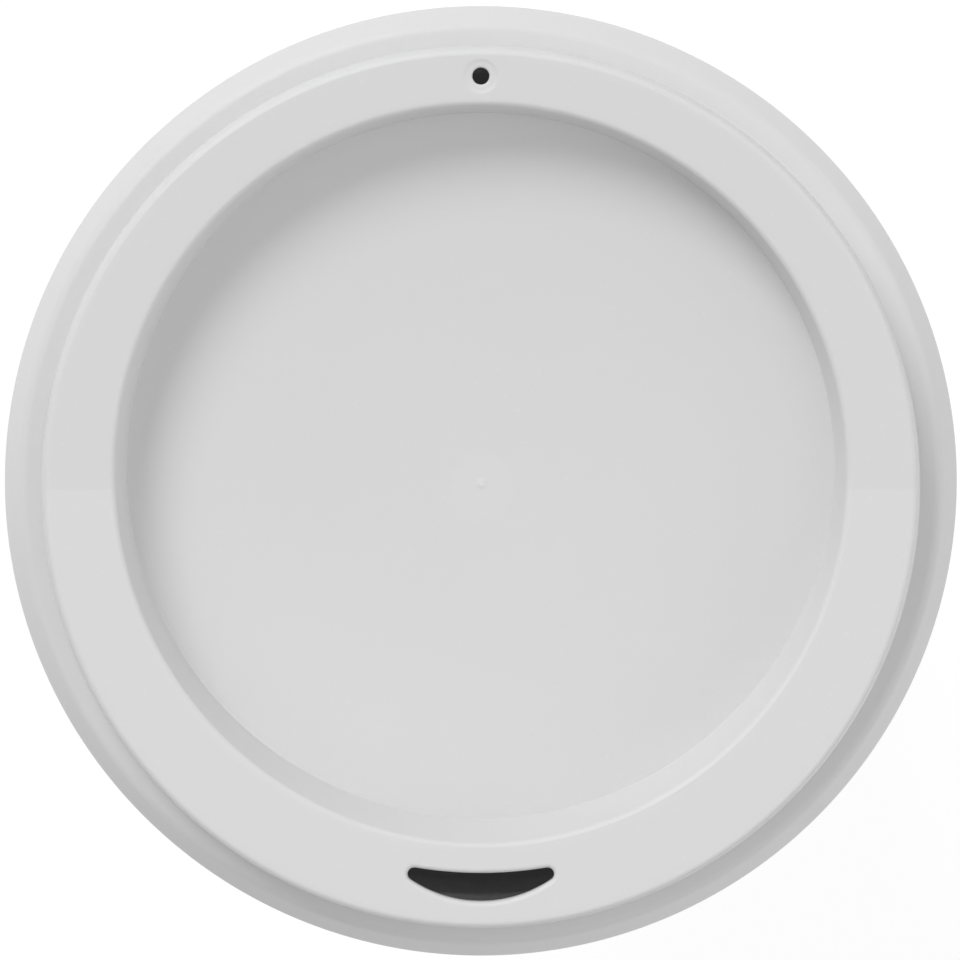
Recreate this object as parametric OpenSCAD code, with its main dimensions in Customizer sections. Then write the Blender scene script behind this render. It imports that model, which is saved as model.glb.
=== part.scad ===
// Reusable takeaway coffee cup: one tapered moulded cup and one press-on moulded lid.
// The origin is the middle of the foot, on the table, and +Z is up.
// The drinking hole points to -Y and the vent hole to +Y.

/* [Cup] */
// Height of the cup from the table to its rim
cup_h = 138; // [100:1:170]
// Diameter over the rim bead
rim_d = 89.6; // [82:0.2:96]
// Width of the rim bead, from the mouth to its outside
rim_w = 2.8; // [2.4:0.1:4]
// Height of the rim bead
rim_h = 4; // [3.4:0.1:5]
// Radius on the outer edges of the rim bead
rim_round = 1.2; // [0.8:0.1:1.3]
// Radius on the mouth's inner edge
mouth_round = 0.4; // [0.2:0.1:0.6]
// Diameter of the foot
base_d = 62; // [54:0.5:68]
// Thickness of the cup's wall
wall = 1.8; // [1.4:0.1:2.2]
// Thickness of the cup's floor
floor_t = 2.2; // [1.6:0.1:3]
// Height of the hollow under the floor
foot_h = 3.5; // [2:0.5:6]
// Thickness of the foot ring
foot_t = 2.6; // [2:0.1:3.4]
// Radius on the edges of the foot
foot_round = 0.8; // [0.4:0.1:0.9]
// Radius where the inner wall meets the floor
inner_round = 4; // [2:0.5:6]
// Height of the stacking step inside, above the cup's floor
step_h = 18; // [12:1:30]
// Width of the stacking step
step_w = 1; // [0.6:0.1:1.4]

/* [Lid] */
// Thickness of the lid's walls
lid_t = 1.2; // [1:0.1:1.6]
// Space between the rim bead and the skirt, across one side
skirt_gap = 1; // [0.8:0.1:1.4]
// Depth of the skirt below the rim
skirt_h = 7.4; // [6.4:0.2:10]
// Width of the slope between the shelf and the skirt
slope_w = 1.8; // [1.4:0.1:2.4]
// Height of the slope between the shelf and the skirt
slope_h = 3.2; // [2:0.1:3.6]
// Radius where the shelf turns into the slope
shelf_round = 1.2; // [0.6:0.1:1.4]
// How far the snap ridge stands in from the skirt
ridge_w = 0.7; // [0.3:0.1:0.7]
// Depth of the snap ridge below the rim
ridge_z = 5.3; // [4.8:0.1:5.8]
// Space between the lid's seat and the rim
seat_gap = 0.2; // [0.1:0.05:0.4]
// Space between the plug wall and the mouth
plug_gap = 0.4; // [0.3:0.05:0.6]
// Depth of the plug wall below the rim
plug_h = 5.5; // [4:0.5:8]
// Thickness of the plug wall
plug_t = 1.2; // [1:0.1:1.6]
// How far the plug wall leans in at its foot
plug_lean = 0.6; // [0.4:0.1:0.9]

/* [Drinking ring] */
// Width of the shelf outside the ring, up to its sharp corner
shelf_w = 2.05; // [1.6:0.05:2.4]
// Height of the vent half of the ring above the shelf
ring_h = 9; // [7.5:0.5:11]
// Angle at which the drinking half climbs
ring_pitch = 5.4; // [3:0.2:7]
// Lean of the ring's outer wall
ring_lean = 5.4; // [3:0.2:7]
// Radius on the ring's outer edge
ring_round = 0.7; // [0.4:0.1:1.2]
// How far the top of the ring sits towards the vent side
ring_shift = 0.45; // [0:0.05:0.5]

/* [Dish] */
// Diameter of the dish floor
dish_d = 69.2; // [64:0.1:70]
// Depth of the dish at the vent side
dish_depth = 7; // [5.5:0.1:7.2]
// How far the dish sits towards the vent side
dish_shift = 2; // [0.8:0.05:2.2]
// Lean of the dish wall
dish_lean = 6.4; // [4:0.2:12]
// Radius on the dish's upper edge
dish_round = 0.6; // [0.4:0.05:0.9]

/* [Holes] */
// Depth of the drinking hole from its inner to its outer edge
sip_depth = 2.75; // [2:0.05:3]
// Radius of the drinking hole's outer edge
sip_r = 12.1; // [9:0.1:14]
// Radius in the corners of the drinking hole
sip_corner = 0.65; // [0.4:0.05:0.75]
// Diameter of the vent hole
vent_d = 1.65; // [1.2:0.05:2]
// Diameter of the sunk ring around the vent hole
sink_d = 3.4; // [2.6:0.1:3.8]
// Depth of the sunk ring around the vent hole
sink_h = 0.1; // [0.05:0.05:0.4]
// How far both holes sit outwards from the middle of the ring's flat top
hole_out = 0.15; // [0:0.05:0.3]

/* [Hidden] */
$fn = 128;
// A small overrun, so that cuts pass clean through a face
over = 1;

// The cup's radii: at the rim, at the mouth and at the foot
rim_r = rim_d / 2;
mouth_r = rim_r - rim_w;
base_r = base_d / 2;
// The wall's outside would meet the rim plane at this radius
top_r = mouth_r + wall;
// Sideways lean of the wall for each millimetre of height
cup_lean = (top_r - base_r) / cup_h;
inner_z = foot_h + floor_t;
step_z = inner_z + step_h;
// The cup is one moulding in two nodes: its foot and floor end just above the floor's top
base_z = inner_z + inner_round / 10;

// The lid's radii and heights, measured from its seat plane
seat_z = cup_h + seat_gap;
skirt_in = rim_r + skirt_gap;
skirt_r = skirt_in + lid_t;
shelf_r = skirt_r - slope_w;
slope_z = lid_t - slope_h;
slope_a = atan(slope_h / slope_w);
ring_base_r = shelf_r - shelf_w;
ring_top_z = lid_t + ring_h;
ring_top_r = ring_base_r - ring_h * tan(ring_lean);
plug_r = mouth_r - plug_gap;
plug_in = plug_r - plug_t;
dish_r = dish_d / 2;
dish_z = ring_top_z - dish_depth;
dish_top_r = dish_r + dish_depth * tan(dish_lean);
pitch = tan(ring_pitch);
// The dish wall of the drinking half spreads a little as the ring's top climbs
dish_spread = 1 / (1 - pitch * tan(dish_lean));
// Sideways step of the ring towards the vent side for each millimetre of height
ring_skew = ring_shift / ring_h;
// Room enough below the lid for a leaning copy to be trimmed
reach = 2 * skirt_r;
climb = pitch * skirt_r + over;

// The flat top of the ring runs between these distances from the middle
ring_flat_r = round_centre_out(ring_top_r, ring_round, ring_lean);
dish_flat_r = round_centre_in(dish_top_r, dish_round, dish_lean);
vent_y = (ring_flat_r + ring_shift + dish_flat_r + dish_shift) / 2 + hole_out;
sip_mid = (ring_flat_r - ring_shift + (dish_flat_r - dish_shift) * dish_spread) / 2 + hole_out;
sip_in_y = -sip_mid + sip_depth / 2;
sip_out_y = -sip_mid - sip_depth / 2;
sip_in_r = dish_shift - sip_in_y;
sip_c_y = sip_out_y + sip_r;
// Where the corner circle of the drinking hole touches both of its long edges
sip_span = dish_shift - sip_c_y;
corner_far = sip_in_r + sip_corner;
corner_near = sip_r - sip_corner;
corner_dy = (corner_far * corner_far + sip_span * sip_span - corner_near * corner_near) / (2 * sip_span);
corner_x = sqrt(corner_far * corner_far - corner_dy * corner_dy);
corner_y = dish_shift - corner_dy;
touch_out = [corner_x * sip_r / corner_near, sip_c_y + (corner_y - sip_c_y) * sip_r / corner_near];
touch_in = [corner_x * sip_in_r / corner_far, dish_shift - corner_dy * sip_in_r / corner_far];

// Middle radius of a rounding at the top of a wall that leans in as it climbs
function round_centre_out(r, f, lean) = r + f * tan(lean) - f / cos(lean);

// Middle radius of a rounding at the top of a hollow that opens as it climbs
function round_centre_in(r, f, lean) = r - f * tan(lean) + f / cos(lean);

// A disc section placed by its middle
module dot(x, y, r) {
    translate([x, y])
        circle(r);
}

// Section of the cup's outside: foot, leaning wall and rim bead
module cup_outside() {
    difference() {
        polygon([
            [0, 0],
            [base_r - foot_round, 0],
            [base_r + foot_round * cup_lean, foot_round],
            [base_r + (cup_h - over) * cup_lean, cup_h - over],
            [mouth_r + mouth_round, cup_h],
            [0, cup_h]
        ]);
        polygon([
            [base_r - foot_round, -over],
            [base_r + over, -over],
            [base_r + over, foot_round],
            [base_r - foot_round, 0]
        ]);
    }
    dot(base_r - foot_round + foot_round * cup_lean, foot_round, foot_round);
    polygon([
        [mouth_r, cup_h - rim_h],
        [rim_r - rim_round, cup_h - rim_h],
        [rim_r - rim_round, cup_h - rim_round],
        [rim_r - rim_round, cup_h],
        [mouth_r, cup_h]
    ]);
    polygon([
        [mouth_r, cup_h - rim_h + rim_round],
        [rim_r, cup_h - rim_h + rim_round],
        [rim_r, cup_h - rim_round],
        [mouth_r, cup_h - rim_round]
    ]);
    dot(rim_r - rim_round, cup_h - rim_round, rim_round);
    dot(rim_r - rim_round, cup_h - rim_h + rim_round, rim_round);
}

// Radius of the cup's inner wall at a height
function inner_r(z) = mouth_r - (cup_h - z) * cup_lean;

// Section of the cup's inside: rounded floor edge, stacking step and mouth
module cup_inside() {
    low_r = inner_r(inner_z) - step_w;
    polygon([
        [0, inner_z],
        [low_r - inner_round, inner_z],
        [low_r, inner_z + inner_round],
        [inner_r(step_z - step_w) - step_w, step_z - step_w],
        [inner_r(step_z), step_z],
        [mouth_r, cup_h],
        [mouth_r, cup_h + over],
        [0, cup_h + over]
    ]);
    dot(low_r - inner_round, inner_z + inner_round, inner_round);
    difference() {
        polygon([
            [mouth_r - over, cup_h - mouth_round],
            [mouth_r + mouth_round, cup_h - mouth_round],
            [mouth_r + mouth_round, cup_h + over],
            [mouth_r - over, cup_h + over]
        ]);
        dot(mouth_r + mouth_round, cup_h - mouth_round, mouth_round);
    }
}

// Section of the hollow under the cup's floor
module foot_hollow() {
    polygon([
        [0, -over],
        [base_r - foot_t + foot_round, -over],
        [base_r - foot_t + foot_round / 2, 0],
        [base_r - foot_t, foot_round],
        [base_r - foot_t - foot_round, foot_h],
        [0, foot_h]
    ]);
}

// The whole moulding, from its foot to its rim
module cup_whole() {
    difference() {
        rotate_extrude()
            cup_outside();
        rotate_extrude()
            cup_inside();
        rotate_extrude()
            foot_hollow();
    }
}

// The wall with its stacking step and rim bead
module cup() {
    color("whitesmoke")
        difference() {
            cup_whole();
            translate([-rim_d, -rim_d, -over])
                cube([2 * rim_d, 2 * rim_d, base_z + over]);
        }
}

// The foot ring and the floor
module cup_base() {
    color("whitesmoke")
        intersection() {
            cup_whole();
            translate([-rim_d, -rim_d, -over])
                cube([2 * rim_d, 2 * rim_d, base_z + over]);
        }
}

// Section of a block whose wall leans in as it climbs, with a rounded top edge
module block_section(r_top, z_top, f, lean) {
    c = round_centre_out(r_top, f, lean);
    r_low = r_top + (z_top + climb) * tan(lean);
    polygon([
        [0, -climb],
        [r_low, -climb],
        [c + f * cos(lean), z_top - f + f * sin(lean)],
        [c, z_top - f],
        [c, z_top],
        [0, z_top]
    ]);
    dot(c, z_top - f, f);
}

// Section of a hollow whose wall leans out as it climbs, with a flared top edge
module hollow_section(r_top, z_top, f, lean) {
    c = round_centre_in(r_top, f, lean);
    r_low = r_top - (z_top + climb) * tan(lean);
    difference() {
        polygon([
            [0, -climb],
            [r_low, -climb],
            [c - f * cos(lean), z_top - f + f * sin(lean)],
            [c, z_top],
            [c, z_top + over],
            [0, z_top + over]
        ]);
        dot(c, z_top - f, f);
    }
}

// Section of a plain cone, without any rounding
module cone_section(r_top, z_top, lean) {
    polygon([
        [0, -climb],
        [r_top - (z_top + climb) * tan(lean), -climb],
        [r_top + over * tan(lean), z_top + over],
        [0, z_top + over]
    ]);
}

// A slab that keeps the vent half, or with side -1 the drinking half, above a height
module half(side, z_low) {
    translate([-reach, side > 0 ? 0 : -reach, z_low])
        cube([2 * reach, reach, reach]);
}

// The vent half as it is, and the drinking half climbing from the crease between them
module pitched(spread, z_low) {
    intersection() {
        children();
        half(1, z_low);
    }
    intersection() {
        multmatrix([
            [1, 0, 0, 0],
            [0, spread, 0, 0],
            [0, -pitch, 1, 0],
            [0, 0, 0, 1]
        ])
            children();
        half(-1, z_low);
    }
}

// A round block whose upper circles step towards the vent side, level with the shelf at 0
module skewed() {
    multmatrix([
        [1, 0, 0, 0],
        [0, 1, ring_skew, -ring_skew * lid_t],
        [0, 0, 1, 0],
        [0, 0, 0, 1]
    ])
        children();
}

// The raised ring with its dish still filled
module ring_block() {
    pitched(1, 0)
        skewed()
            rotate_extrude()
                block_section(ring_top_r, ring_top_z, ring_round, ring_lean);
}

// The dish
module dish_hollow() {
    pitched(dish_spread, dish_z)
        translate([0, dish_shift, 0])
            rotate_extrude()
                hollow_section(dish_top_r, ring_top_z, dish_round, dish_lean);
}

// The channel under the ring and the space under the dish floor
module under_hollow() {
    difference() {
        pitched(1, lid_t)
            skewed()
                rotate_extrude()
                    block_section(ring_top_r - lid_t, ring_top_z - lid_t, ring_round / 2, ring_lean);
        pitched(dish_spread, dish_z - lid_t)
            translate([0, dish_shift, 0])
                rotate_extrude()
                    cone_section(dish_top_r + lid_t, ring_top_z, dish_lean);
    }
    translate([0, 0, -plug_h - over])
        cylinder(r = plug_in, h = plug_h + over + lid_t);
}

// Section of the shelf, the slope, the skirt with its snap ridge, and the plug wall
module rim_section() {
    round_c = shelf_r - shelf_round * tan(slope_a / 2);
    difference() {
        union() {
            polygon([
                [plug_in, 0],
                [skirt_in, 0],
                [skirt_in, slope_z],
                [skirt_r, slope_z],
                [shelf_r + shelf_round * tan(slope_a / 2) * cos(slope_a), lid_t - shelf_round * tan(slope_a / 2) * sin(slope_a)],
                [round_c, lid_t - shelf_round],
                [round_c, lid_t],
                [plug_in, lid_t]
            ]);
            intersection() {
                dot(round_c, lid_t - shelf_round, shelf_round);
                translate([round_c, 0])
                    square([2 * shelf_round, lid_t]);
            }
            translate([skirt_in, -skirt_h])
                square([lid_t, skirt_h + slope_z]);
            polygon([
                [skirt_in + lid_t / 2, -ridge_z - 2 * ridge_w],
                [skirt_in, -ridge_z - 2 * ridge_w],
                [skirt_in - ridge_w, -ridge_z - ridge_w / 2],
                [skirt_in - ridge_w, -ridge_z + ridge_w / 2],
                [skirt_in, -ridge_z + 2 * ridge_w],
                [skirt_in + lid_t / 2, -ridge_z + 2 * ridge_w]
            ]);
            polygon([
                [plug_in - plug_lean, -plug_h],
                [plug_r - plug_lean, -plug_h],
                [plug_r, 0],
                [plug_r, lid_t / 2],
                [plug_in, lid_t / 2],
                [plug_in, 0]
            ]);
        }
        polygon([
            [skirt_in, slope_z - lid_t * tan((90 - slope_a) / 2)],
            [skirt_in, -skirt_h / 2],
            [plug_r + over / 2, -skirt_h / 2],
            [plug_r + over / 2, 0],
            [seat_r(), 0]
        ]);
    }
}

// Radius where the flat seat under the shelf ends and the inner slope begins
function seat_r() = skirt_in - (0 - (slope_z - lid_t * tan((90 - slope_a) / 2))) / tan(slope_a);

module lid() {
    color("white")
        translate([0, 0, seat_z])
            difference() {
                union() {
                    ring_block();
                    rotate_extrude()
                        rim_section();
                }
                dish_hollow();
                under_hollow();
                drinking_hole();
                vent_hole();
            }
}

// The drinking hole: a gentle inner edge, a tighter outer edge and small round corners
module drinking_hole() {
    linear_extrude(height = reach)
        union() {
            intersection() {
                difference() {
                    dot(0, sip_c_y, sip_r);
                    dot(0, dish_shift, sip_in_r);
                }
                polygon([
                    touch_in,
                    touch_out,
                    [touch_out[0], -reach],
                    [-touch_out[0], -reach],
                    [-touch_out[0], touch_out[1]],
                    [-touch_in[0], touch_in[1]]
                ]);
            }
            dot(corner_x, corner_y, sip_corner);
            dot(-corner_x, corner_y, sip_corner);
        }
}

// The vent hole and its shallow sunk ring
module vent_hole() {
    translate([0, vent_y, lid_t])
        cylinder(d = vent_d, h = reach);
    translate([0, vent_y, ring_top_z - sink_h])
        cylinder(d = sink_d, h = reach);
}

cup();
cup_base();
lid();
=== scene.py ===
import math

import bpy
import numpy as np
from mathutils import Matrix, Vector


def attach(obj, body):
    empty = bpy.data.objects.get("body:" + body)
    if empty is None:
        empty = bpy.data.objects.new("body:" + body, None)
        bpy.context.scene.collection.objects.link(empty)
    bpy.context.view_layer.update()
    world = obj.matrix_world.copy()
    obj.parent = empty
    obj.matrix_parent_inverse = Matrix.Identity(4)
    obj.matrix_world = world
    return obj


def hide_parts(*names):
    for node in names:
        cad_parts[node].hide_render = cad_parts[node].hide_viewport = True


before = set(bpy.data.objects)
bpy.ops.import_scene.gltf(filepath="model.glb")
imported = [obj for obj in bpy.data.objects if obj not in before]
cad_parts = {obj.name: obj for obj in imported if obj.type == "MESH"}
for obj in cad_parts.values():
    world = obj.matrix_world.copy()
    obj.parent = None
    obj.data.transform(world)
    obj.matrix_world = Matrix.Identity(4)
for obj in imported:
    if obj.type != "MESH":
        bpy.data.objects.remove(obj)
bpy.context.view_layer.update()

# The cup: one tapered drinking cup of satin white polypropylene, moulded in one shot.
# A solid bead runs round its rim, the foot is a low ring, and inside, a small step
# stops stacked cups from jamming. It comes first because the lid is pressed onto it.
MM = 0.001
CUP_H = 138.0
RIM_R = 44.8
RIM_W = 2.8
RIM_H = 4.0
BASE_R = 31.0
CUP_WALL = 1.8
FOOT_H = 3.5
FOOT_T = 2.6
FLOOR_T = 2.2
STEP_H = 18.0
STEP_W = 1.0
CUP_RAIL = 0.4
CUP_STATIONS = 240
MOUTH_R = RIM_R - RIM_W
CUP_LEAN = (MOUTH_R + CUP_WALL - BASE_R) / CUP_H


def rounded(corners, radii, steps):
    """Profile through corners of shape (corner, station, 2), each corner turned into an
    arc of its own radius. The arc touches both sides at radius * tan(half the turn) from
    the corner, and its middle lies on the line that halves the angle between them.
    A radius of 0 keeps the corner as it is. Returns points of shape (point, station, 2)."""
    out = [corners[:1]]
    for k in range(1, len(corners) - 1):
        if radii[k] == 0:
            out.append(corners[k:k + 1])
            continue
        back = corners[k - 1] - corners[k]
        ahead = corners[k + 1] - corners[k]
        back /= np.linalg.norm(back, axis=-1, keepdims=True)
        ahead /= np.linalg.norm(ahead, axis=-1, keepdims=True)
        half = np.arccos(np.clip((back * ahead).sum(-1), -1, 1)) / 2
        bisector = back + ahead
        bisector /= np.linalg.norm(bisector, axis=-1, keepdims=True)
        middle = corners[k] + bisector * (radii[k] / np.sin(half))[:, None]
        sweep = math.pi / 2 - half
        side = back - bisector * (back * bisector).sum(-1, keepdims=True)
        side /= np.linalg.norm(side, axis=-1, keepdims=True)
        turn = np.linspace(1, -1, steps[k] + 1)[:, None] * sweep[None]
        arc = middle + radii[k] * (
            side[None] * np.sin(turn)[..., None] - bisector[None] * np.cos(turn)[..., None]
        )
        out.append(arc)
    out.append(corners[-1:])
    return np.concatenate(out)


def grid_faces(index):
    """Quads between neighbouring rows of a grid of vertex numbers, closed along its rows."""
    ahead = np.roll(index, -1, axis=1)
    return np.stack([index[:-1], ahead[:-1], ahead[1:], index[1:]], axis=-1)


def solid_mesh(name, points, quads, fans):
    """Mesh object from points in millimetres, quads, and fans that close each pole:
    a fan is one vertex number and the ring of vertex numbers round it."""
    triangles = np.concatenate([
        np.stack([ring, np.roll(ring, -1), np.full(len(ring), pole)], axis=-1)
        for pole, ring in fans
    ])
    mesh = bpy.data.meshes.new(name)
    corners = np.concatenate([quads.reshape(-1), triangles.reshape(-1)])
    starts = np.concatenate([
        np.arange(len(quads)) * 4,
        len(quads) * 4 + np.arange(len(triangles)) * 3,
    ])
    mesh.vertices.add(len(points))
    mesh.vertices.foreach_set("co", (points * MM).reshape(-1))
    mesh.loops.add(len(corners))
    mesh.loops.foreach_set("vertex_index", corners)
    mesh.polygons.add(len(starts))
    mesh.polygons.foreach_set("loop_start", starts)
    mesh.update(calc_edges=True)
    mesh.validate()
    mesh.shade_smooth()
    piece = bpy.data.objects.new(name, mesh)
    bpy.context.collection.objects.link(piece)
    return piece


def turned(name, profile, stations):
    """Solid of revolution: each profile point (r, z) goes to (r cos a, r sin a, z).
    The first and last points lie on the axis and become the two poles."""
    angle = np.linspace(0, 2 * math.pi, stations, endpoint=False)
    ring = profile[1:-1]
    points = np.stack([
        ring[:, :1] * np.cos(angle),
        ring[:, :1] * np.sin(angle),
        np.repeat(ring[:, 1:], stations, axis=1),
    ], axis=-1).reshape(-1, 3)
    index = np.arange(len(points)).reshape(len(ring), stations)
    poles = np.array([[0, 0, profile[0, 1]], [0, 0, profile[-1, 1]]])
    points = np.concatenate([points, poles])
    fans = [(len(points) - 2, index[0][::-1]), (len(points) - 1, index[-1])]
    return solid_mesh(name, points, grid_faces(index).reshape(-1, 4), fans)


def wall_r(z):
    """Radius of the cup's inner wall at a height."""
    return MOUTH_R - (CUP_H - z) * CUP_LEAN


inner_z = FOOT_H + FLOOR_T
step_z = inner_z + STEP_H
bead_z = CUP_H - RIM_H
cup_corners = [
    # radius, height, rounding, arc steps
    (0, FOOT_H, 0, 0),
    (BASE_R - FOOT_T - 0.8, FOOT_H, 0.8, 6),
    (BASE_R - FOOT_T, 0, 0.5, 5),
    (BASE_R, 0, 0.8, 7),
    (wall_r(bead_z) + CUP_WALL, bead_z, 0.5, 5),
    (RIM_R, bead_z, 1.2, 8),
    (RIM_R, CUP_H, 1.2, 8),
    (MOUTH_R, CUP_H, 0.4, 5),
    (wall_r(step_z), step_z, 0.5, 5),
    (wall_r(step_z - STEP_W) - STEP_W, step_z - STEP_W, 0.5, 5),
    (wall_r(inner_z) - STEP_W, inner_z, 4.0, 12),
    (0, inner_z, 0, 0),
]
cup_profile = rounded(
    np.array([[c[:2]] for c in cup_corners], float),
    [c[2] for c in cup_corners],
    [c[3] for c in cup_corners],
)[:, 0]


def with_rails(profile, reach):
    """Adds a point just past each end of every long stretch, so that smooth shading
    stays flat between two rounded corners."""
    step = np.diff(profile, axis=0)
    length = np.linalg.norm(step, axis=-1)
    spots = [profile[:1]]
    for here, way, long in zip(profile[:-1], step, length):
        if long > 4 * reach:
            spots.append(here + way * np.array([[reach / long], [1 - reach / long]]))
        spots.append((here + way)[None])
    return np.concatenate(spots)


cup = turned("cup_body", with_rails(cup_profile, CUP_RAIL), CUP_STATIONS)
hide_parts("cup", "cup_base")
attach(cup, "cup")


class Socket:
    """A node socket that adds Math nodes when it is used in an expression."""

    def __init__(self, tree, out):
        self.tree, self.out = tree, out

    def node(self, kind, settings=None, inputs=None, output=0):
        """Adds a node of a kind, sets it up, links or sets its inputs, and returns an output."""
        made = self.tree.nodes.new(kind)
        for key, value in (settings or {}).items():
            setattr(made, key, value)
        for key, value in (inputs or {}).items():
            if isinstance(value, Socket):
                self.tree.links.new(value.out, made.inputs[key])
            else:
                made.inputs[key].default_value = value
        return Socket(self.tree, made.outputs[output])

    def maths(self, operation, first, second):
        return self.node("ShaderNodeMath", {"operation": operation}, {0: first, 1: second})

    def __add__(self, other):
        return self.maths("ADD", self, other)

    def __sub__(self, other):
        return self.maths("SUBTRACT", self, other)

    def __mul__(self, other):
        return self.maths("MULTIPLY", self, other)

    __radd__ = __add__
    __rmul__ = __mul__


WHITE = 0.75
SATIN = 0.5
GRAIN_SCALE = 2600
CLOUD_SCALE = 60
SPECK_SCALE = 1500
PATCH_SCALE = 900
PATCH_INNER = 6
PATCH_OUTER = 15
THROUGH_GLOW = 0.006


def satin_plastic(name, blush):
    """Satin white moulded plastic: a fine grain from the mould in the bump and the
    roughness, very faint clouding and a few specks in the colour. With blush 1 it also
    has the slightly paler patch round the gate mark: its strength falls with the square
    of the distance from the axis in millimetres, roughened by noise, between the inner
    and the outer value. A faint glow stands in for the light that comes through its thin
    walls and keeps the inside from going black."""
    material = bpy.data.materials.new(name)
    material.use_nodes = True
    tree = material.node_tree
    shader = tree.nodes["Principled BSDF"]
    place = Socket(tree, tree.nodes.new("ShaderNodeTexCoord").outputs["Object"])

    def noise(scale, detail):
        return place.node(
            "ShaderNodeTexNoise", None, {"Vector": place, "Scale": scale, "Detail": detail}, "Fac"
        )

    def ramp(value, low, high):
        """0 below the low value, 1 above the high one, and smooth in between."""
        return place.node(
            "ShaderNodeMapRange",
            {"interpolation_type": "SMOOTHSTEP"},
            {"Value": value, "From Min": low, "From Max": high},
        )

    grain = noise(GRAIN_SCALE, 2)
    cloud = noise(CLOUD_SCALE, 3)
    specks = ramp(noise(SPECK_SCALE, 1), 0.7, 0.78)
    spot = place.node("ShaderNodeSeparateXYZ", None, {0: place})
    side = Socket(tree, spot.out.node.outputs[1])
    square = (spot * spot + side * side) * -(MM ** -2)
    ragged = 16 * (noise(PATCH_SCALE, 3) - 0.5)
    patch = ramp(square + ragged, -PATCH_OUTER, -PATCH_INNER) * blush
    colour = place.node(
        "ShaderNodeMix",
        {"data_type": "RGBA"},
        {
            "Factor": 0.35 * cloud + 0.32 * patch + 0.6 * specks,
            "A": (WHITE * 0.99,) * 3 + (1,),
            "B": (WHITE * 1.03,) * 3 + (1,),
        },
        2,
    )
    roughness = SATIN + 0.08 * (grain - 0.5) + 0.06 * (cloud - 0.5)
    bump = place.node(
        "ShaderNodeBump", None, {"Height": grain, "Strength": 0.25, "Distance": 0.00003}
    )
    tree.links.new(colour.out, shader.inputs["Base Color"])
    tree.links.new(roughness.out, shader.inputs["Roughness"])
    tree.links.new(bump.out, shader.inputs["Normal"])
    shader.inputs["IOR"].default_value = 1.49
    shader.inputs["Emission Color"].default_value = (1, 1, 1, 1)
    shader.inputs["Emission Strength"].default_value = THROUGH_GLOW
    return material


cup.data.materials.append(satin_plastic("cup_plastic", 0))

# The lid: one press-on moulding of the same plastic. A skirt with a snap ridge grips the
# rim bead, a sloped shoulder and a narrow shelf lead up to the hollow drinking ring, and
# the ring surrounds a sunken dish. Its drinking half climbs from a crease at the middle.
LID_T = 1.2
SEAT_GAP = 0.2
SKIRT_GAP = 1.0
PLUG_GAP = 0.4
SEAT_Z = CUP_H + SEAT_GAP
SKIRT_IN = RIM_R + SKIRT_GAP
SKIRT_R = SKIRT_IN + LID_T
SKIRT_H = 7.4
SLOPE_W = 1.8
SLOPE_H = 3.2
SHELF_W = 2.05
SHELF_R = SKIRT_R - SLOPE_W
SLOPE_Z = LID_T - SLOPE_H
RING_H = 9.0
RING_BASE_R = SHELF_R - SHELF_W
RING_TOP_Z = LID_T + RING_H
RING_LEAN = math.tan(math.radians(5.4))
RING_SHIFT = 0.45
RING_SKEW = RING_SHIFT / RING_H
PITCH = math.tan(math.radians(5.4))
CREASE_Y = 0.3
DISH_R = 34.6
DISH_DEPTH = 7.0
DISH_Z = RING_TOP_Z - DISH_DEPTH
DISH_SHIFT = 2.0
DISH_LEAN = math.tan(math.radians(6.4))
PLUG_T = 1.2
PLUG_R = MOUTH_R - PLUG_GAP
PLUG_IN = PLUG_R - PLUG_T
PLUG_LEAN = 0.6
PLUG_H = 5.5
RIDGE_W = 0.7
RIDGE_Z = -5.3
SEAM_UP = 1.0
FLAT_STEPS = 8
STATIONS = 500
PASSES = 4
LID_RAIL = 0.25

angle = np.linspace(0, 2 * math.pi, STATIONS, endpoint=False)
# Three more stations at each end of the crease keep its fold narrow
crease_rails = CREASE_Y / DISH_R + np.radians([-0.17, -0.05, 0.07])
angle = np.sort(np.concatenate([angle, crease_rails, math.pi - crease_rails]))
along, across = np.cos(angle), np.sin(angle)


def ray_r(radius, shift):
    """Distance along each ray from the lid's middle to a circle shifted along Y:
    shift * sin a + sqrt(radius squared - (shift * cos a) squared)."""
    return shift * across + np.sqrt(radius ** 2 - (shift * along) ** 2)


def climb(y):
    """How far the drinking half has climbed, which grows with the distance from the
    crease and is 0 on the vent half."""
    return PITCH * np.maximum(0, CREASE_Y - y)


def ring_top(radius):
    """Height of the ring's top at a radius along each ray."""
    return RING_TOP_Z + climb(radius * across)


def ring_wall_r(z):
    """Radius of the ring's outer wall: a cone that leans in as it climbs, with its upper
    circles a little nearer the vent side. On the drinking half the whole wall climbs with
    the ring's top, so each height is first brought back down by that climb."""
    radius = RING_BASE_R
    for _ in range(PASSES):
        rise = z - LID_T - climb(radius * across)
        radius = ray_r(RING_BASE_R - rise * RING_LEAN, RING_SKEW * rise)
    return radius


def dish_wall_r(z):
    """Radius of the dish wall: a cone about the dish's own middle that opens as it climbs."""
    return ray_r(DISH_R + (z - DISH_Z) * DISH_LEAN, DISH_SHIFT)


def meets_top(wall, drop, offset):
    """Where a wall, moved out by offset, meets the ring's top lowered by drop. Each pass
    takes the wall's radius at the last height, and a few passes settle it."""
    z = ring_top(wall(RING_TOP_Z))
    for _ in range(PASSES):
        radius = wall(z - drop) + offset
        z = ring_top(radius)
    return radius, z - drop


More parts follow.
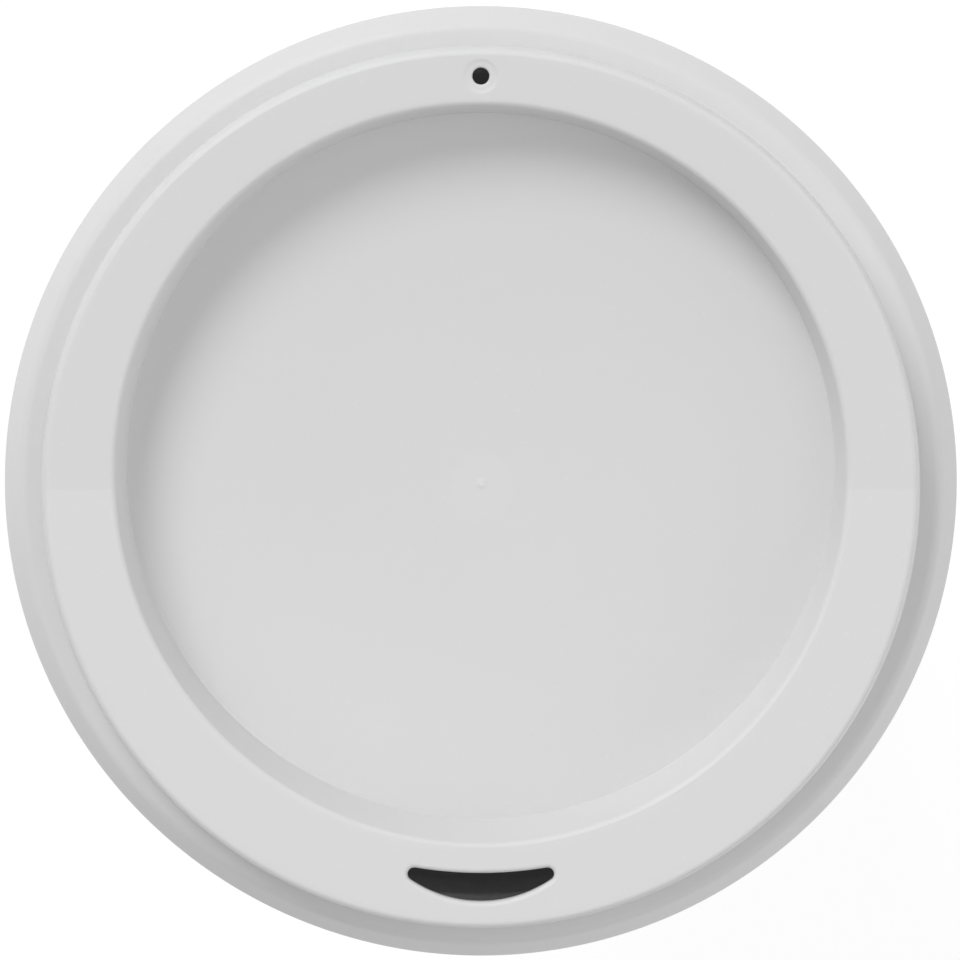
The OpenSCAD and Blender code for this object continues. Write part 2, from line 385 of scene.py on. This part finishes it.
flat = np.ones_like(angle)
ring_out = meets_top(ring_wall_r, 0, 0)
dish_out = meets_top(dish_wall_r, 0, 0)
channel_in = meets_top(dish_wall_r, LID_T, LID_T)
channel_out = meets_top(ring_wall_r, LID_T, -LID_T)
slope_in_z = SLOPE_Z - LID_T * math.tan((math.pi / 2 - math.atan(SLOPE_H / SLOPE_W)) / 2)
seat_r = SKIRT_IN + slope_in_z * SLOPE_W / SLOPE_H
lid_corners = [
    # radius, height, rounding, arc steps
    (SKIRT_R, -SKIRT_H + SEAM_UP, 0, 0),
    (SKIRT_R, SLOPE_Z, 0.5, 4),
    (SHELF_R, LID_T, 1.2, 9),
    (ring_wall_r(LID_T), LID_T, 0, 0),
    (*ring_out, 0.6, 9),
    (*dish_out, 0.6, 9),
    (dish_wall_r(DISH_Z), DISH_Z, 0, 0),
    (0, DISH_Z, 0, 0),
    (0, DISH_Z - LID_T, 0, 0),
    (dish_wall_r(DISH_Z - LID_T) + LID_T, DISH_Z - LID_T, 0.8, 5),
    (*channel_in, 0.4, 4),
    (*channel_out, 0.4, 4),
    (RING_BASE_R - LID_T, LID_T, 0.3, 3),
    (PLUG_IN, LID_T, 0.3, 3),
    (PLUG_IN - PLUG_LEAN, -PLUG_H, 0.5, 5),
    (PLUG_R - PLUG_LEAN, -PLUG_H, 0.5, 5),
    (PLUG_R, 0, 0.3, 3),
    (seat_r, 0, 0.3, 3),
    (SKIRT_IN, slope_in_z, 0.4, 3),
    (SKIRT_IN, RIDGE_Z + 2 * RIDGE_W, 0.4, 3),
    (SKIRT_IN - RIDGE_W, RIDGE_Z + RIDGE_W / 4, 0.3, 4),
    (SKIRT_IN - RIDGE_W, RIDGE_Z - RIDGE_W / 4, 0.3, 4),
    (SKIRT_IN, RIDGE_Z - 2 * RIDGE_W, 0.3, 3),
    (SKIRT_IN, -SKIRT_H, 0.5, 5),
    (SKIRT_R, -SKIRT_H, 0.5, 5),
    (SKIRT_R, -SKIRT_H + SEAM_UP, 0, 0),
]


def split(low, high, parts):
    """The points between two rings of points, evenly spaced, ends left out."""
    share = (np.arange(1, parts) / parts)[:, None, None]
    return low * (1 - share) + high * share


corner_rings = np.stack([np.stack([r * flat, z * flat], axis=-1) for r, z, _, _ in lid_corners])
radii = [c[2] for c in lid_corners]
steps = [c[3] for c in lid_corners]
top_side = rounded(corner_rings[:8], radii[:8], steps[:8])
under_side = rounded(corner_rings[8:], radii[8:], steps[8:])


def arc_end(steps, corner):
    """Row of a rounded profile where the arc at a corner ends."""
    return sum((s + 1) if s else 1 for s in steps[1:corner + 1])


# Rows of the sharp inner corners at the ring's foot and round the dish floor, and rows
# where the level stretch of the ring's top, and of the channel under it, begins
crisp = [arc_end(steps[:8], 3), arc_end(steps[:8], 6)]
top_flat = arc_end(steps[:8], 4)
under_flat = arc_end(steps[8:], 2)


def stretched(rows, row, parts):
    """The profile with the stretch after a row cut into equal parts."""
    return np.concatenate([rows[:row + 1], split(rows[row], rows[row + 1], parts), rows[row + 1:]])


top_side = stretched(top_side, top_flat, FLAT_STEPS)
crisp[1] += FLAT_STEPS - 1
under_side = stretched(under_side, under_flat, FLAT_STEPS)


def with_ring_rails(rows, reach, keep):
    """Adds a ring just past each end of every long stretch, as on the cup, apart from
    the rows in keep, and returns the rows with each old row's new number."""
    out, number = [rows[:1]], [0]
    count = 1
    for k in range(len(rows) - 1):
        way = rows[k + 1] - rows[k]
        shortest = np.linalg.norm(way, axis=-1).min()
        if shortest > 4 * reach and k not in keep:
            share = reach / np.linalg.norm(way, axis=-1, keepdims=True)
            out += [(rows[k] + way * share)[None], (rows[k + 1] - way * share)[None]]
            count += 2
        out.append(rows[k + 1:k + 2])
        number.append(count)
        count += 1
    return np.concatenate(out), number


top_side, top_number = with_ring_rails(
    top_side, LID_RAIL, range(top_flat, top_flat + FLAT_STEPS)
)
under_side, under_number = with_ring_rails(
    under_side, LID_RAIL, range(under_flat, under_flat + FLAT_STEPS)
)
crisp = [top_number[row] for row in crisp]
top_flat = top_number[top_flat]
under_flat = under_number[under_flat]


def placed(rows):
    """Rows of (radius, height) at each station put in place round the lid's middle."""
    return np.stack([rows[..., 0] * along, rows[..., 0] * across, rows[..., 1] + SEAT_Z], axis=-1)


# The dish floor runs in to the gate mark at its middle: a small nub in a shallow ring,
# where the plastic entered the mould.
GATE_R = 1.3
GATE_H = 0.06
gate = np.array([
    # radius, height
    (24, 0), (14, 0), (7, 0), (3, 0), (GATE_R, 0), (1.15, -0.004), (0.95, -0.012),
    (0.6, -0.012), (0.48, -0.004), (0.38, 0.018), (0.28, 0.045), (0.18, 0.056), (0.09, GATE_H),
])
gate_rows = np.count_nonzero(gate[:, 0] <= GATE_R)
gate_spot = np.array([0.05, 0.33])
dish_floor = np.stack([gate[:, :1] * flat, DISH_Z + gate[:, 1:] * flat], axis=-1)
rows = np.concatenate([top_side[:-2], dish_floor, under_side[1:-1]])
under_start = len(top_side) - 2 + len(dish_floor)
points = placed(rows)
points[under_start - gate_rows:under_start, :, :2] += gate_spot
stations = len(angle)
index = np.arange(points.shape[0] * stations).reshape(points.shape[0], stations)
index = np.concatenate([index, index[:1]])
under_flat = under_start + under_flat - 1
faces = grid_faces(index)
kept = np.ones(faces.shape[:2], bool)
kept[under_start - 1] = False
points = points.reshape(-1, 3)
poles = np.array([[*gate_spot, DISH_Z + GATE_H + SEAT_Z], [0, 0, DISH_Z - LID_T + SEAT_Z]])

# The drinking hole: a crescent through the ring's top, with a gentle edge towards the
# dish, a tighter edge outside, small round corners and a softly rolled lip.
SIP_MID = 38.0
SIP_DEPTH = 2.75
SIP_R = 12.1
SIP_CORNER = 0.65
SIP_LIP = 0.45
SIP_MARGIN = 0.12
SIP_HALF_ANGLE = 13.2
sip_in_r = DISH_SHIFT + SIP_MID - SIP_DEPTH / 2
sip_c_y = -SIP_MID - SIP_DEPTH / 2 + SIP_R
sip_far, sip_near = sip_in_r + SIP_CORNER, SIP_R - SIP_CORNER
sip_span = DISH_SHIFT - sip_c_y
sip_dy = (sip_far ** 2 + sip_span ** 2 - sip_near ** 2) / (2 * sip_span)
sip_x = math.sqrt(sip_far ** 2 - sip_dy ** 2)
sip_y = DISH_SHIFT - sip_dy


def circle_part(cx, cy, radius, start, end, parts):
    """Points on a circle's arc between two angles, the last one left out."""
    turn = start + (end - start) * np.arange(parts) / parts
    return np.stack([cx + radius * np.cos(turn), cy + radius * np.sin(turn)], axis=-1)


def sip_outline(grow, long_parts, short_parts):
    """Outline of the drinking hole grown by a distance, from its left end along the inner
    edge, round the right corner, back along the outer edge and round the left corner."""
    inner = math.atan2(sip_dy, sip_x)
    outer = math.atan2(sip_c_y - sip_y, sip_x)
    return np.concatenate([
        circle_part(0, DISH_SHIFT, sip_in_r - grow, -math.pi + inner, -inner, long_parts),
        circle_part(sip_x, sip_y, SIP_CORNER + grow, math.pi - inner, -outer, short_parts),
        circle_part(0, sip_c_y, SIP_R + grow, -outer, -math.pi + outer, long_parts),
        circle_part(-sip_x, sip_y, SIP_CORNER + grow, math.pi + outer, inner, short_parts),
    ])


def top_z(spot):
    """Height of the ring's top over places on the plan."""
    return RING_TOP_Z + climb(spot[:, 1])


def station_at(degrees):
    """The station nearest to an angle."""
    return int(np.argmin(np.abs(angle - math.radians(degrees))))


def border(inner, outer, first, last):
    """Vertex numbers round a block of the grid: along its inner row, out along the last
    station, back along its outer row and in along the first station."""
    span = np.arange(first, last)
    side = np.arange(FLAT_STEPS) * (1 if outer > inner else -1)
    return np.concatenate([
        index[inner, span],
        index[inner + side, last],
        index[outer, span + 1][::-1],
        index[outer - side, first],
    ])


def top_border(first, last):
    """Border of the block of the ring's top that a hole replaces."""
    return border(top_flat + FLAT_STEPS, top_flat, first, last)


def hole_patch(first, last, outline, profile):
    """Replaces part of the ring's top, from station first to last, by loops that run from
    the grid's own border to the hole's outline, over its edge as the profile of (grow,
    drop) pairs says, down the hole and out to the grid of the channel below."""
    global points
    upper = top_border(first, last)
    lower = border(under_flat, under_flat + FLAT_STEPS, first, last)
    edge = outline(profile[0][0])
    loops = []
    for share in (0.3, 0.6, 0.85):
        loop = points[upper][:, :2] * (1 - share) + edge * share
        loops.append(np.column_stack([loop, SEAT_Z + top_z(loop)]))
    for grow, drop in profile:
        loop = outline(grow)
        loops.append(np.column_stack([loop, SEAT_Z + top_z(loop) - drop]))
    number = len(points) + np.arange(len(loops) * len(upper)).reshape(len(loops), len(upper))
    points = np.concatenate([points, np.concatenate(loops)])
    kept[top_flat:top_flat + FLAT_STEPS, first:last] = False
    kept[under_flat:under_flat + FLAT_STEPS, first:last] = False
    return grid_faces(np.concatenate([upper[None], number, lower[None]])).reshape(-1, 4)[:, ::-1]


quarter = np.linspace(0, math.pi / 2, 7)
sip_first, sip_last = station_at(270 - SIP_HALF_ANGLE), station_at(270 + SIP_HALF_ANGLE)
sip_faces = hole_patch(
    sip_first,
    sip_last,
    lambda grow: sip_outline(grow, sip_last - sip_first, FLAT_STEPS),
    [(SIP_LIP + SIP_MARGIN, 0)]
    + [(SIP_LIP * (1 - math.sin(q)), SIP_LIP * (1 - math.cos(q))) for q in quarter]
    + [(0, LID_T - 0.15), (0.05, LID_T - 0.02)],
)

# The vent hole: a small round hole in the level half of the ring, in a shallow sunk ring
# that keeps drops away from it.
VENT_Y = 40.2
VENT_R = 0.82
SINK_R = 1.7
SINK_H = 0.1
SINK_EDGE = 0.05
SINK_STEP = 0.42
VENT_LIP = 0.22
VENT_HALF_ANGLE = 3.6
vent_first, vent_last = station_at(90 - VENT_HALF_ANGLE), station_at(90 + VENT_HALF_ANGLE)


def vent_outline(grow):
    """Circle round the vent hole, its points turned towards the border's own points."""
    middle = np.array([0, VENT_Y])
    way = points[top_border(vent_first, vent_last)][:, :2] - middle
    way /= np.linalg.norm(way, axis=-1, keepdims=True)
    return middle + way * (VENT_R + grow)


step_in = np.linspace(0, 1, 5)
lip = np.linspace(0, math.pi / 2, 5)
vent_faces = hole_patch(
    vent_first,
    vent_last,
    vent_outline,
    [
        (SINK_R + SINK_EDGE - VENT_R - SINK_STEP * s, SINK_H * (3 * s ** 2 - 2 * s ** 3))
        for s in step_in
    ]
    + [
        (VENT_LIP * (1 - math.sin(q)), SINK_H + VENT_LIP * (1 - math.cos(q)))
        for q in lip
    ]
    + [(0, LID_T - 0.05), (0.02, LID_T)],
)

lid_faces = np.concatenate([faces[kept].reshape(-1, 4), sip_faces, vent_faces])
fans = [
    (len(points), index[under_start - 1]),
    (len(points) + 1, index[under_start][::-1]),
]
points = np.concatenate([points, poles])
lid = solid_mesh("lid_body", points, lid_faces, fans)
ends = np.empty(2 * len(lid.data.edges), int)
lid.data.edges.foreach_get("vertices", ends)
sharp = lid.data.attributes.new("sharp_edge", "BOOLEAN", "EDGE")
in_corner = [np.isin(ends.reshape(-1, 2), index[row]).all(axis=1) for row in crisp]
sharp.data.foreach_set("value", in_corner[0] | in_corner[1])
lid.data.materials.append(satin_plastic("lid_plastic", 1))
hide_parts("lid")
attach(lid, "lid")

# The table: a plain pale sheet that keeps the cup's soft shadow. Seen straight or in a
# reflection, most of it shows as even white, and the rest as a lit surface.
TABLE_HALF = 3
TABLE_PALE = 0.85
SHOWN_WHITE = 0.8
floor_mesh = bpy.data.meshes.new("table")
floor_corners = [
    (x * TABLE_HALF, y * TABLE_HALF, 0) for x, y in [(-1, -1), (1, -1), (1, 1), (-1, 1)]
]
floor_mesh.from_pydata(floor_corners, [], [(0, 1, 2, 3)])
table = bpy.data.objects.new("table", floor_mesh)
bpy.context.collection.objects.link(table)
paper = bpy.data.materials.new("white_table")
paper.use_nodes = True
tree = paper.node_tree
shader = tree.nodes["Principled BSDF"]
shader.inputs["Base Color"].default_value = (TABLE_PALE,) * 3 + (1,)
shader.inputs["Roughness"].default_value = 0.8
ray = tree.nodes.new("ShaderNodeLightPath").outputs
shown = sum(
    Socket(tree, ray[kind]) for kind in ("Is Camera Ray", "Is Glossy Ray", "Is Transmission Ray")
)
glow = shown.node("ShaderNodeEmission", None, {"Color": (1, 1, 1, 1), "Strength": 1.1})
lit = Socket(tree, shader.outputs[0])
seen = shown.node("ShaderNodeMixShader", None, {0: shown * SHOWN_WHITE, 1: lit, 2: glow})
tree.links.new(seen.out, tree.nodes["Material Output"].inputs["Surface"])
floor_mesh.materials.append(paper)

# Studio light: a large soft window to the upper left with the pale wall below it, a
# reflector at the lower right, faint light from the walls on both sides and from the
# ceiling, and an even pale room.
world = bpy.data.worlds.new("room")
bpy.context.scene.world = world
world.use_nodes = True
room = world.node_tree.nodes["Background"]
room.inputs["Color"].default_value = (1, 1, 1, 1)
room.inputs["Strength"].default_value = 0.3


def soft_lamp(name, azimuth, elevation, spread, strength):
    """Lamp that covers a wide round patch of the sky, spread degrees across. The azimuth
    counts from +X towards +Y. A white sheet that faces it shows the strength."""
    lamp = bpy.data.lights.new(name, "SUN")
    lamp.angle = math.radians(spread)
    lamp.energy = math.pi * strength
    holder = bpy.data.objects.new(name, lamp)
    a, e = math.radians(azimuth), math.radians(elevation)
    way = Vector((math.cos(a) * math.cos(e), math.sin(a) * math.cos(e), math.sin(e)))
    holder.matrix_world = way.to_track_quat("Z", "Y").to_matrix().to_4x4()
    bpy.context.collection.objects.link(holder)


for lamp_set in [
    # name, azimuth, elevation, spread, strength
    ("window", 121, 42, 28, 0.45),
    ("window_wall", 122, 14, 34, 0.12),
    ("right_wall", 6, 15, 56, 0.172),
    ("reflector", 316, 43, 46, 0.13),
    ("left_wall", 188, 50, 40, 0.074),
    ("ceiling", 0, 68, 40, 0.07),
]:
    soft_lamp(*lamp_set)

# The camera looks down on the lid, a little from the vent side. Its aim is a point at
# the height of the lid's widest edge, just off the axis.
VIEW_DISTANCE = 600.0
VIEW_LEAN = 0.072
VIEW_AIM = (-0.08, 0.35)
PIXELS_PER_MM = 10.13
PIXELS = 960
SENSOR = 36.0
aim = Vector((*VIEW_AIM, SEAT_Z + SLOPE_Z)) * MM
away = Vector((0, VIEW_LEAN, 1)).normalized()
camera = bpy.data.cameras.new("camera")
camera.sensor_width = SENSOR
camera.lens = SENSOR * VIEW_DISTANCE * PIXELS_PER_MM / PIXELS
camera.clip_start = 0.01
camera.clip_end = 20
eye = bpy.data.objects.new("camera", camera)
right = (-away).cross(Vector((0, 1, 0))).normalized()
upward = right.cross(-away)
turn = Matrix((right, upward, away)).transposed().to_4x4()
eye.matrix_world = Matrix.Translation(aim + away * VIEW_DISTANCE * MM) @ turn
bpy.context.collection.objects.link(eye)
bpy.context.scene.camera = eye
bpy.context.scene.view_settings.view_transform = "Standard"
